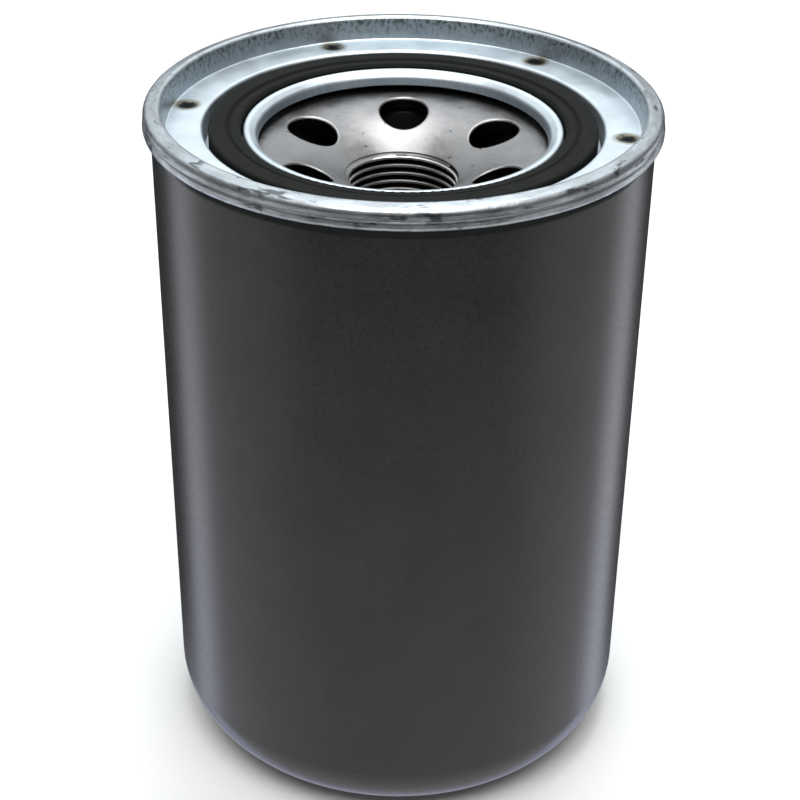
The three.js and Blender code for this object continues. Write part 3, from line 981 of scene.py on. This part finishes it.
class OILFILTER_OT_antidrain_valve(bpy.types.Operator):
    """Mould the anti-drainback diaphragm round the neck"""
    bl_idname = "oil_filter.antidrain_valve"
    bl_label = "Anti-drainback valve"

    def execute(self, context):
        outline = bent([
            (12.65, down(16.4), 0.3), (12.65, down(22.4), 0.3), (14.3, down(22.4), 0.4),
            (14.3, down(18.4), 0.9), (22.9, down(16.3), 1.4), (23.5, down(13.1), 0.5),
            (24.6, down(12.6), 0.3), (24.6, down(11.6), 0.3), (22.5, down(11.7), 0.3),
            (21.9, down(15.3), 1.2), (14.3, down(17.4), 0.6),
        ], closed=True)
        piece = turned("drainback_diaphragm", outline)
        finish_piece(context, piece, "drainback_flap", "valve_rubber", "antidrain_valve")
        return {"FINISHED"}


# ---- Element ------------------------------------------------------------------------------------

TOP_CAP = 102.2                     # heights of the middles of the end caps' sheets
BOTTOM_CAP = 16.2
CAP_SHEET = 0.5


class OILFILTER_OT_end_caps(bpy.types.Operator):
    """Press the element's two end caps"""
    bl_idname = "oil_filter.end_caps"
    bl_label = "End caps"

    def execute(self, context):
        rim = TOP_CAP - CAP_RIM
        upper = [
            (CAP_FACE, rim, 0), (CAP_FACE, TOP_CAP, 1), (31, TOP_CAP, 0.8), (30.2, TOP_CAP - 0.3, 0.6),
            (20, TOP_CAP - 0.3, 0.6), (19.2, TOP_CAP, 0.8), (14.95, TOP_CAP, 0.8), (14.95, rim, 0),
        ]
        lower = [(CAP_FACE, BOTTOM_CAP + CAP_RIM, 0), (CAP_FACE, BOTTOM_CAP, 1), (9.8, BOTTOM_CAP, 0)]
        for name, corners, node in (
            ("element_top_cap", upper, "upper_end_cap"), ("element_bottom_cap", lower, "lower_end_cap"),
        ):
            piece = pressed(name, corners, CAP_SHEET)
            finish_piece(context, piece, "element", "tinplate", node)
        return {"FINISHED"}


class OILFILTER_OT_potting(bpy.types.Operator):
    """Cast the plastisol that bonds the pleats to the end caps"""
    bl_idname = "oil_filter.potting"
    bl_label = "Potting"

    def execute(self, context):
        for name, node in (("bond_upper", "upper_potting"), ("bond_lower", "lower_potting")):
            outline = ring_outline(*corners_mm(node), 16.4, 0.3)
            piece = turned(name, outline)
            finish_piece(context, piece, "element", "bond_resin", node)
        return {"FINISHED"}


class OILFILTER_OT_pleated_media(bpy.types.Operator):
    """Fold the filter paper into its ring of pleats"""
    bl_idname = "oil_filter.pleated_media"
    bl_label = "Pleated media"

    def execute(self, context):
        folds = []
        for i in range(2 * PLEATS):
            angle = math.pi * i / PLEATS
            radius, half = (PLEAT_INNER, 0.45) if i % 2 else (PLEAT_OUTER, 0.6)
            across = Vector((-math.sin(angle), math.cos(angle))) * half
            middle = on_circle(radius, angle)
            folds += [(*(middle - across), 0.5), (*(middle + across), 0.5)]
        outer, inner = both_faces(bent(folds, closed=True), PAPER_SHEET, closed=True)
        low, high = corners_mm("pleated_media")
        piece = extruded("pleated_paper", [inner, outer], low.z, high.z, levels=2)
        finish_piece(context, piece, "element", "filter_paper", "pleated_media")
        return {"FINISHED"}


class OILFILTER_OT_media_seam_clip(bpy.types.Operator):
    """Fold the channel that joins the paper's two ends"""
    bl_idname = "oil_filter.media_seam_clip"
    bl_label = "Media seam clip"

    def execute(self, context):
        low, high = corners_mm("media_seam_clip")
        wall = 0.4
        back, near, far = high.x - wall / 2, low.y + wall / 2, high.y - wall / 2
        line = bent([(low.x, far, 0), (back, far, 0.5), (back, near, 0.5), (low.x, near, 0)])
        left, right = both_faces(line, wall)
        piece = extruded("seam_channel", [left + right[::-1]], low.z, high.z)
        finish_piece(context, piece, "element", "tinplate", "media_seam_clip")
        return {"FINISHED"}


class OILFILTER_OT_centre_tube(bpy.types.Operator):
    """Roll the centre tube and pierce its staggered holes"""
    bl_idname = "oil_filter.centre_tube"
    bl_label = "Centre tube"

    def execute(self, context):
        low, high = corners_mm("centre_tube")
        outline = ring_outline(low, high, 15.6, 0)
        piece = turned("perforated_tube", outline)
        lowest, highest = low.z + 22, high.z - 9
        cutters = []
        for row in range(TUBE_HOLE_ROWS):
            height = lowest + (highest - lowest) * row / (TUBE_HOLE_ROWS - 1)
            for column in range(TUBE_HOLE_COLUMNS // 2):    # each cutter pierces both sides
                cutter = rod("hole_cutter", 2, 50)
                angle = 2 * math.pi / TUBE_HOLE_COLUMNS * (column + row % 2 / 2)
                turn = Matrix.Rotation(angle, 4, "Z") @ Matrix.Rotation(math.pi / 2, 4, "X")
                cutter.data.transform(Matrix.Translation((0, 0, height * MM)) @ turn)
                cutters.append(cutter)
        carve(piece, cutters)
        finish_piece(context, piece, "element", "tinplate", "centre_tube")
        return {"FINISHED"}


# ---- Bypass valve and springs -------------------------------------------------------------------


class OILFILTER_OT_bypass_valve(bpy.types.Operator):
    """Press the bypass valve's seat, disc and cage, and mould its seal"""
    bl_idname = "oil_filter.bypass_valve"
    bl_label = "Bypass valve"

    def execute(self, context):
        seat = pressed("bypass_nozzle", [
            (14.9, 16.95, 0), (8.2, 16.95, 0.6), (8.2, 18.4, 0)], 0.6)
        finish_piece(context, seat, "element", "tinplate", "bypass_seat")

        outline = ring_outline(*corners_mm("bypass_seal"), 5.6, 0.15)
        seal = turned("bypass_washer", outline)
        finish_piece(context, seal, "bypass_disc", "valve_rubber", "bypass_seal")

        disc = pressed("bypass_plate", [
            (10.2, 19.95, 0), (5.1, 19.95, 0.5), (4.3, 22.6, 0.6), (0, 22.6, 0)], 0.5)
        finish_piece(context, disc, "bypass_disc", "tinplate", "bypass_poppet")

        cage = pressed("bypass_housing", [
            (14.9, 17.7, 0), (12.2, 17.7, 0.6), (12.2, 33.8, 1), (3, 33.8, 0)], 0.5)
        windows = []
        for turn in (0, math.pi / 2):
            plan = [Vector(p) for p in ((-20, -6), (20, -6), (20, 6), (-20, 6))]
            window = extruded("window_cutter", [plan], 20.7, 30.8)
            window.data.transform(Matrix.Rotation(turn, 4, "Z"))
            windows.append(window)
        carve(cage, windows)
        finish_piece(context, cage, "element", "tinplate", "bypass_cage")
        return {"FINISHED"}


class OILFILTER_OT_springs(bpy.types.Operator):
    """Coil the bypass spring and the element spring, and press the cup between spring and element"""
    bl_idname = "oil_filter.springs"
    bl_label = "Springs and spring seat"

    def execute(self, context):
        # wire, mean radius, lowest and highest middle of the wire, turns, joint, anchor, travel
        coils = (
            ("bypass_coil", "bypass_spring", "element",
             0.9, 6.3, 20.8, 33.0, 5, "bypass_opening", 33.45, 3.0),
            ("element_coil", "element_spring", "housing",
             2.2, 13.6, 3.1, 13.7, 2.75, "element_travel", 2.0, 2.0),
        )
        for name, node, body, wire, radius, bottom, top, turns, joint, anchor, travel in coils:
            section = [on_circle(wire / 2, angle) for angle in even_angles(16)]
            piece = helix_sweep(name, section, radius, bottom, top, turns, 48)
            finish_piece(context, piece, body, "spring_steel", node)
            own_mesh(piece)
        cup = pressed("spring_cup", [(17.5, 12.9, 0), (17.5, 15.5, 0.8), (9, 15.5, 0)], 0.6)
        finish_piece(context, cup, "element", "tinplate", "spring_seat")
        return {"FINISHED"}


# ---- Stage --------------------------------------------------------------------------------------

CAMERA_TARGET = 0.0646              # metres above the floor
CAMERA_DISTANCE = 0.3296
CAMERA_ELEVATION = 31.26            # degrees
CAMERA_ROLL = 0.74
CAMERA_LENS = 80.8
ROOM_LIGHT = 0.24                   # radiance of the unlit room overhead
HORIZON_LIGHT = 0.15
GROUND_LIGHT = 0.7                  # radiance of the ground in front and at the sides
CARD_LIGHT = 1.6                    # radiance of the two low cards
SWEEP_LIGHT = 1.12                  # radiance of the pale sweep behind
LIGHT_TURN = -4.0                   # degrees by which the whole room is turned about the filter
FLOOR_HALF = 12.0                   # metres


def place_camera(scene):
    data = bpy.data.cameras.new("camera")
    data.lens = CAMERA_LENS
    data.clip_start = 0.01
    camera = bpy.data.objects.new("camera", data)
    scene.collection.objects.link(camera)
    rise, roll = math.radians(CAMERA_ELEVATION), math.radians(CAMERA_ROLL)
    back = Vector((0, -math.cos(rise), math.sin(rise)))
    camera.location = Vector((0, 0, CAMERA_TARGET)) + back * CAMERA_DISTANCE
    turn = Matrix.Rotation(math.pi / 2 - rise, 4, "X") @ Matrix.Rotation(roll, 4, "Z")
    camera.rotation_euler = turn.to_euler()
    scene.camera = camera


def softbox(scene, name, place, target, size, power, colour="#ffffff"):
    data = bpy.data.lights.new(name, "AREA")
    data.shape = "RECTANGLE"
    data.size, data.size_y = size
    data.energy = power
    data.color = linear(colour)[:3]
    lamp = bpy.data.objects.new(name, data)
    lamp.location = place
    lamp.rotation_euler = (Vector(place) - Vector(target)).to_track_quat("Z", "Y").to_euler()
    scene.collection.objects.link(lamp)


def pale_floor(scene):
    shader = new_material("pale_floor", 0.0, 0.9)[1]
    feed(shader, {"Base Color": linear("#fafbfb")})
    corners = [(x * FLOOR_HALF, y * FLOOR_HALF, 0) for x, y in ((-1, -1), (1, -1), (1, 1), (-1, 1))]
    mesh = bpy.data.meshes.new("floor")
    mesh.from_pydata(corners, [], [(0, 1, 2, 3)])
    mesh.materials.append(bpy.data.materials["pale_floor"])
    floor = bpy.data.objects.new("floor", mesh)
    floor.location.z = -0.0001
    floor.visible_glossy = False    # the room's own light shapes what the metal mirrors
    scene.collection.objects.link(floor)


def studio_world(scene):
    """A dim room, with a pale sweep high behind the filter and a pale card low on each side."""
    world = bpy.data.worlds.new("studio")
    world.use_nodes = True
    tree = world.node_tree
    turned_room = put(tree, "VectorRotate", {
        "Vector": put(tree, "TexCoord", out="Generated"), "Angle": math.radians(LIGHT_TURN),
    }, rotation_type="Z_AXIS")
    direction = put(tree, "SeparateXYZ", [turned_room]).node.outputs
    height = direction["Z"]
    plan = put(tree, "CombineXYZ", (direction["X"], direction["Y"]))
    facing = put(tree, "VectorMath", [plan], operation="NORMALIZE")
    behind = put(tree, "SeparateXYZ", [facing], out="Y")
    above, rear, side, front_edge, back_edge, top_edge, low_glow = (
        put(tree, "MapRange", span, interpolation_type="SMOOTHSTEP")
        for span in (
            (height, 0.15, 0.42), (behind, 0.35, 0.85), (behind, -0.85, -0.35), (behind, 0.3, 0.5),
            (behind, 0.74, 0.6), (height, 0.1, -0.05), (height, -0.6, -0.7)))
    shaded, upwards, paleness, rear_glow, side_light, near, ceiling, rising, falling = (
        put(tree, "MapRange", span)
        for span in (
            (behind, 0.1, 0.7, 1.0, 0.05), (height, -0.1, 0.1), (height, -0.85, -0.5),
            (behind, 0.4, 0.8), (height, -0.15, -0.4, HORIZON_LIGHT, GROUND_LIGHT),
            (height, -0.47, -0.61, 0.0, GROUND_LIGHT + 0.2),
            (height, 0.1, 0.6, HORIZON_LIGHT, ROOM_LIGHT),
            (height, -0.45, -0.7, CARD_LIGHT, 1.5 * CARD_LIGHT), (height, -0.95, -0.78, 0.25, 1.0)))

    sweep = put(tree, "Math", (above, rear), operation="MULTIPLY")
    lit = layered(tree, BLACK, (sweep, linear("#f4fbff")))
    bright_sweep = put(tree, "VectorMath", {0: lit, "Scale": SWEEP_LIGHT}, operation="SCALE")

    sides = put(tree, "Math", (side, side_light), operation="MULTIPLY")
    open_ground = put(tree, "Math", (sides, near), operation="MAXIMUM")
    ground = put(tree, "Math", (open_ground, shaded), operation="MULTIPLY")
    room = put(tree, "Mix", {0: upwards, 2: ground, 3: ceiling}, data_type="FLOAT")

    width = put(tree, "Math", (front_edge, back_edge), operation="MULTIPLY")
    card = put(tree, "Math", (width, top_edge), operation="MULTIPLY")
    low_card = layered(tree, linear("#c3c6f4"), (paleness, linear("#f2f4fb")))
    power = put(tree, "Math", (rising, falling), operation="MULTIPLY")
    bright_card = put(tree, "VectorMath", {0: low_card, "Scale": power}, operation="SCALE")
    glow = put(tree, "Math", (low_glow, rear_glow), operation="MULTIPLY")
    cards = layered(tree, BLACK, (card, bright_card), (glow, linear("#e2e3fb")))

    shaped = put(tree, "VectorMath", (bright_sweep, cards), operation="ADD")
    dim = put(tree, "CombineXYZ", (room, room, room))
    everything = put(tree, "VectorMath", (shaped, dim), operation="ADD")
    feed(tree.nodes["Background"], {"Color": everything})
    scene.world = world


class OILFILTER_OT_stage(bpy.types.Operator):
    """Set the floor, the camera and the soft studio light"""
    bl_idname = "oil_filter.stage"
    bl_label = "Stage"

    def execute(self, context):
        scene = context.scene
        scene.view_settings.view_transform = "Standard"
        place_camera(scene)
        pale_floor(scene)
        studio_world(scene)
        middle = (0, 0.1, 0)
        softbox(scene, "overhead", (0.05, 0.2, 0.95), middle, (0.34, 0.3), 3.2, "#fbfdff")
        softbox(scene, "front_high", (0.0, -0.4, 0.98), middle, (1.0, 0.6), 8.4, "#fffefc")
        return {"FINISHED"}


# ---- Panel and registration ---------------------------------------------------------------------

OPERATORS = (
    OILFILTER_OT_stage,
    OILFILTER_OT_outer_can,
    OILFILTER_OT_seaming_lid,
    OILFILTER_OT_seam_compound,
    OILFILTER_OT_sealing_gasket,
    OILFILTER_OT_base_plate,
    OILFILTER_OT_antidrain_valve,
    OILFILTER_OT_end_caps,
    OILFILTER_OT_potting,
    OILFILTER_OT_pleated_media,
    OILFILTER_OT_media_seam_clip,
    OILFILTER_OT_centre_tube,
    OILFILTER_OT_bypass_valve,
    OILFILTER_OT_springs,
)


class OILFILTER_PT_pieces(bpy.types.Panel):
    """Lists the filter's sizes, colours and pieces"""
    bl_label = "Oil filter"
    bl_idname = "OILFILTER_PT_pieces"
    bl_space_type = "VIEW_3D"
    bl_region_type = "UI"
    bl_category = "Oil filter"

    def draw(self, context):
        for settings in (context.scene.oil_filter_sizes, context.scene.oil_filter_colours):
            for name in settings.__annotations__:
                self.layout.prop(settings, name)
        for operator in OPERATORS:
            self.layout.operator(operator.bl_idname)


CLASSES = (OilFilterSizes, OilFilterColours, *OPERATORS, OILFILTER_PT_pieces)


def register():
    for item in CLASSES:
        bpy.utils.register_class(item)
    bpy.types.Scene.oil_filter_sizes = bpy.props.PointerProperty(type=OilFilterSizes)
    bpy.types.Scene.oil_filter_colours = bpy.props.PointerProperty(type=OilFilterColours)


def unregister():
    del bpy.types.Scene.oil_filter_colours
    del bpy.types.Scene.oil_filter_sizes
    for item in reversed(CLASSES):
        bpy.utils.unregister_class(item)


def main():
    register()
    for operator in OPERATORS:
        group, name = operator.bl_idname.split(".")
        getattr(getattr(bpy.ops, group), name)()


if __name__ == "__main__":
    main()
